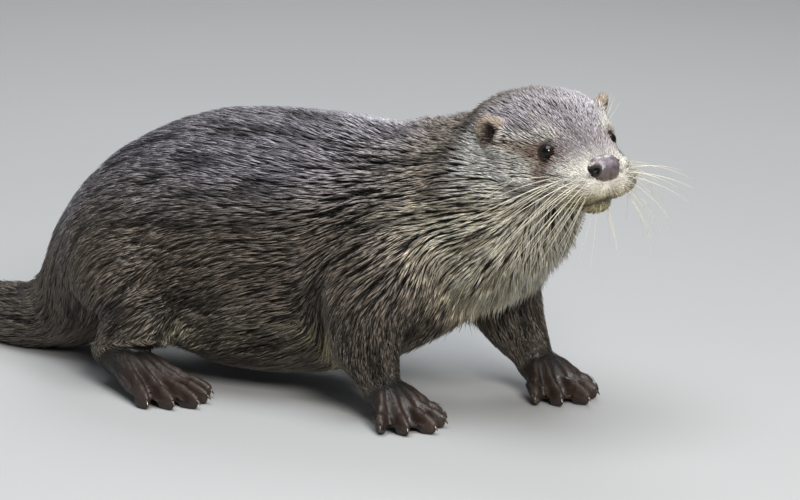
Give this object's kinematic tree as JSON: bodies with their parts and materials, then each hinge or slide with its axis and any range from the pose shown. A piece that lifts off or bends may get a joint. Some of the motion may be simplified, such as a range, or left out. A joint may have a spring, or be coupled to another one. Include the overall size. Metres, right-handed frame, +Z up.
{
  "type": "river otter",
  "caption": "Life-size river otter with a wet brown coat and pale throat, standing low on four feet with its head turned to its right and its tail laid along the floor.",
  "frame": {"origin": "middle of the model's footprint, on the floor that the feet and tail rest on", "axes": "+Z up, the otter faces -Y and its tail runs towards +Y, its left side is +X"},
  "size_m": [0.2562, 0.9206, 0.2433],
  "materials": {
    "coat": "wet brown guard hair lying in flat pointed locks, satin sheen",
    "throat": "wet cream and pale grey hair in slender locks with dark partings",
    "paw": "nearly bare wet brown skin, pinker at the toe tips",
    "claw": "dark smooth horn, glossy",
    "eye": "dark brown eye with a black pupil under a clear wet surface",
    "nose": "bare wet purplish brown skin, finely pebbled",
    "whisker": "stiff pale hair, thin and tapering"
  },
  "bodies": {
    "root": {"foreleg_right_upper": "coat", "foreleg_right_lower": "coat", "forefoot_right": "paw", "forefoot_right_claw_1": "claw", "forefoot_right_claw_2": "claw", "forefoot_right_claw_3": "claw", "forefoot_right_claw_4": "claw", "forefoot_right_claw_5": "claw", "hindleg_right_thigh": "coat", "hindleg_right_shank": "coat", "hindfoot_right": "paw", "hindfoot_right_claw_1": "claw", "hindfoot_right_claw_2": "claw", "hindfoot_right_claw_3": "claw", "hindfoot_right_claw_4": "claw", "hindfoot_right_claw_5": "claw", "ear_right": "coat", "eye_right": "eye", "foreleg_left_upper": "coat", "foreleg_left_lower": "coat", "forefoot_left": "paw", "forefoot_left_claw_1": "claw", "forefoot_left_claw_2": "claw", "forefoot_left_claw_3": "claw", "forefoot_left_claw_4": "claw", "forefoot_left_claw_5": "claw", "hindleg_left_thigh": "coat", "hindleg_left_shank": "coat", "hindfoot_left": "paw", "hindfoot_left_claw_1": "claw", "hindfoot_left_claw_2": "claw", "hindfoot_left_claw_3": "claw", "hindfoot_left_claw_4": "claw", "hindfoot_left_claw_5": "claw", "ear_left": "coat", "eye_left": "eye", "head": "coat", "nose": "nose", "neck": "throat", "chest": "coat", "belly": "coat", "rump": "coat", "tail": "coat", "tail_tip": "coat"}
  },
  "joints": []
}
